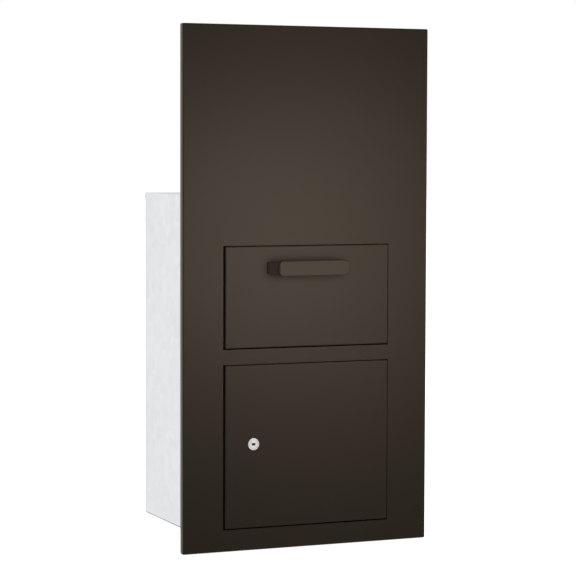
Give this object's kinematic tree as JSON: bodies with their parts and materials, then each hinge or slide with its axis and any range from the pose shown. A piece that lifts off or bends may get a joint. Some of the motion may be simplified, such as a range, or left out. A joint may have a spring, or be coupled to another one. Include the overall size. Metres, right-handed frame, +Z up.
{
  "type": "through-wall parcel drop box",
  "caption": "Tall bronze face panel with a fold-out hopper door, a handle and a lockable access door, on a steel enclosure that passes through a wall.",
  "frame": {"origin": "on the wall face, on the panel's centre line, level with the underside of the enclosure", "axes": "+Z up, +Y into the wall, the face panel looks toward -Y, +X to the right seen from the front"},
  "size_m": [0.473, 0.396, 0.927],
  "materials": {
    "bronze_paint": "satin dark bronze powder coat",
    "galvanised_steel": "pale mill-finish sheet",
    "zinc_steel": "zinc plated",
    "dark_steel": "black oxide",
    "chrome": "polished",
    "rubber": "matt"
  },
  "bodies": {
    "enclosure": {"face_panel": "bronze_paint", "stiffener_left": "bronze_paint", "stiffener_right": "bronze_paint", "head_rail": "bronze_paint", "mid_rail": "bronze_paint", "sill_rail": "bronze_paint", "jamb_left": "bronze_paint", "jamb_right": "bronze_paint", "enclosure_wrap": "galvanised_steel", "enclosure_top": "galvanised_steel", "enclosure_floor": "galvanised_steel", "baffle_hood": "galvanised_steel", "hopper_bracket_left": "dark_steel", "hopper_bracket_right": "dark_steel", "hopper_rod": "dark_steel", "rod_clips": "dark_steel", "pivot_plate_upper": "dark_steel", "pivot_plate_lower": "dark_steel", "pivot_pin_upper": "dark_steel", "pivot_pin_lower": "dark_steel", "panel_studs": "zinc_steel", "panel_nuts": "zinc_steel", "strike_plate": "zinc_steel", "torsion_spring_left": "zinc_steel", "torsion_spring_right": "zinc_steel", "drop_door_bumpers": "rubber", "access_door_bumpers": "rubber", "hopper_stop_bumpers": "rubber"},
    "drop_door_hopper": {"drop_door": "bronze_paint", "handle": "bronze_paint", "handle_screws": "zinc_steel", "hopper_cheek_left": "galvanised_steel", "hopper_cheek_right": "galvanised_steel", "hopper_tray": "galvanised_steel", "hopper_rivets": "zinc_steel", "hopper_stop_studs": "zinc_steel"},
    "access_door_leaf": {"access_door": "bronze_paint", "access_door_stiffener": "bronze_paint", "lock_body": "chrome", "lock_nut": "zinc_steel"},
    "lock_turning": {"lock_plug": "chrome", "lock_cam": "zinc_steel", "cam_washer": "zinc_steel", "cam_screw": "zinc_steel"}
  },
  "joints": [
    {"name": "drop_door_hinge", "type": "hinge", "parent": "enclosure", "child": "drop_door_hopper", "pos_m": [0, -0.006, 0.3595], "axis": [1, 0, 0], "range_deg": [0, 45], "stiffness_Nm_per_rad": 0.5, "springref_deg": -22.92, "deforming": ["torsion_spring_left", "torsion_spring_right"]},
    {"name": "access_door_hinge", "type": "hinge", "parent": "enclosure", "child": "access_door_leaf", "pos_m": [0.122, -0.0055, 0.1677], "axis": [0, 0, 1], "range_deg": [0, 115]},
    {"name": "lock_turn", "type": "hinge", "parent": "access_door_leaf", "child": "lock_turning", "pos_m": [-0.1045, 0, 0.172], "axis": [0, -1, 0], "range_deg": [0, 90]}
  ]
}
